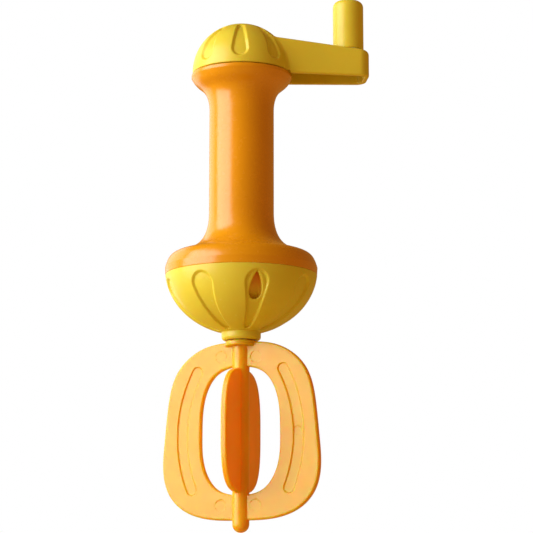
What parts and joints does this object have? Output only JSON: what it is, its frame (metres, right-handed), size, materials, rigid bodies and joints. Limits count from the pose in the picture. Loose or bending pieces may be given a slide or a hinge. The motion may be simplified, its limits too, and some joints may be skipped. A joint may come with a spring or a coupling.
{
  "type": "hand-cranked toy whisk",
  "caption": "Hand-cranked toy whisk: domed side crank on a waisted handle turns planetary gears in a bowl-shaped housing, which spin a crossed-blade whisk.",
  "frame": {"origin": "on the turning axis, at the middle of the handle's straight grip", "axes": "+Z along the turning axis towards the crank; the whisk's ring blade lies in the XZ plane and its leaf blade in the YZ plane"},
  "size_m": [0.0979, 0.0733, 0.2605],
  "materials": {
    "orange_gloss": "polished, saturated orange moulding",
    "yellow_satin": "fine satin yellow moulding",
    "apricot_satin": "satin, slightly translucent apricot moulding",
    "orange_gear": "plain orange moulding",
    "white_acetal": "natural white bearing plastic",
    "steel": "bright stainless"
  },
  "bodies": {
    "handle": {"handle_body": "orange_gloss", "top_bearing_plate": "orange_gloss", "upper_bush": "white_acetal", "thrust_washer": "white_acetal", "gearbox_lid": "yellow_satin", "lower_bush": "white_acetal", "ring_gear": "orange_gear", "housing_screws": "steel", "bowl_housing": "yellow_satin", "neck_bush": "white_acetal"},
    "crank": {"crank": "yellow_satin", "crank_screws": "steel", "drive_shaft": "white_acetal", "shaft_screw": "steel", "planet_carrier": "orange_gear", "carrier_floor": "orange_gear", "carrier_screws": "steel", "planet_pins": "steel", "knob_pin": "white_acetal", "knob_washer": "white_acetal"},
    "planet_1": {"planet_gear_1": "white_acetal"},
    "planet_2": {"planet_gear_2": "white_acetal"},
    "planet_3": {"planet_gear_3": "white_acetal"},
    "knob": {"crank_knob": "yellow_satin"},
    "whisk": {"whisk": "apricot_satin", "sun_gear": "white_acetal", "journal_clip": "steel"}
  },
  "joints": [
    {"name": "crank_turn", "type": "hinge", "parent": "handle", "child": "crank", "pos_m": [0, 0, 0.0436], "axis": [0, 0, 1], "continuous": true},
    {"name": "whisk_spin", "type": "hinge", "parent": "handle", "child": "whisk", "pos_m": [0, 0, -0.08], "axis": [0, 0, 1], "continuous": true},
    {"name": "knob_spin", "type": "hinge", "parent": "crank", "child": "knob", "pos_m": [0.046, 0.0255, 0.0605], "axis": [0, 0, 1], "continuous": true},
    {"name": "planet_1_spin", "type": "hinge", "parent": "crank", "child": "planet_1", "pos_m": [0.01467, 0.00393, -0.0602], "axis": [0, 0, 1], "continuous": true},
    {"name": "planet_2_spin", "type": "hinge", "parent": "crank", "child": "planet_2", "pos_m": [-0.01074, 0.01074, -0.0602], "axis": [0, 0, 1], "continuous": true},
    {"name": "planet_3_spin", "type": "hinge", "parent": "crank", "child": "planet_3", "pos_m": [-0.00393, -0.01467, -0.0602], "axis": [0, 0, 1], "continuous": true}
  ],
  "couplings": [
    {"joint": "whisk_spin", "follows": "crank_turn", "ratio": 4.5},
    {"joint": "planet_1_spin", "follows": "crank_turn", "ratio": -2.8},
    {"joint": "planet_2_spin", "follows": "crank_turn", "ratio": -2.8},
    {"joint": "planet_3_spin", "follows": "crank_turn", "ratio": -2.8}
  ]
}
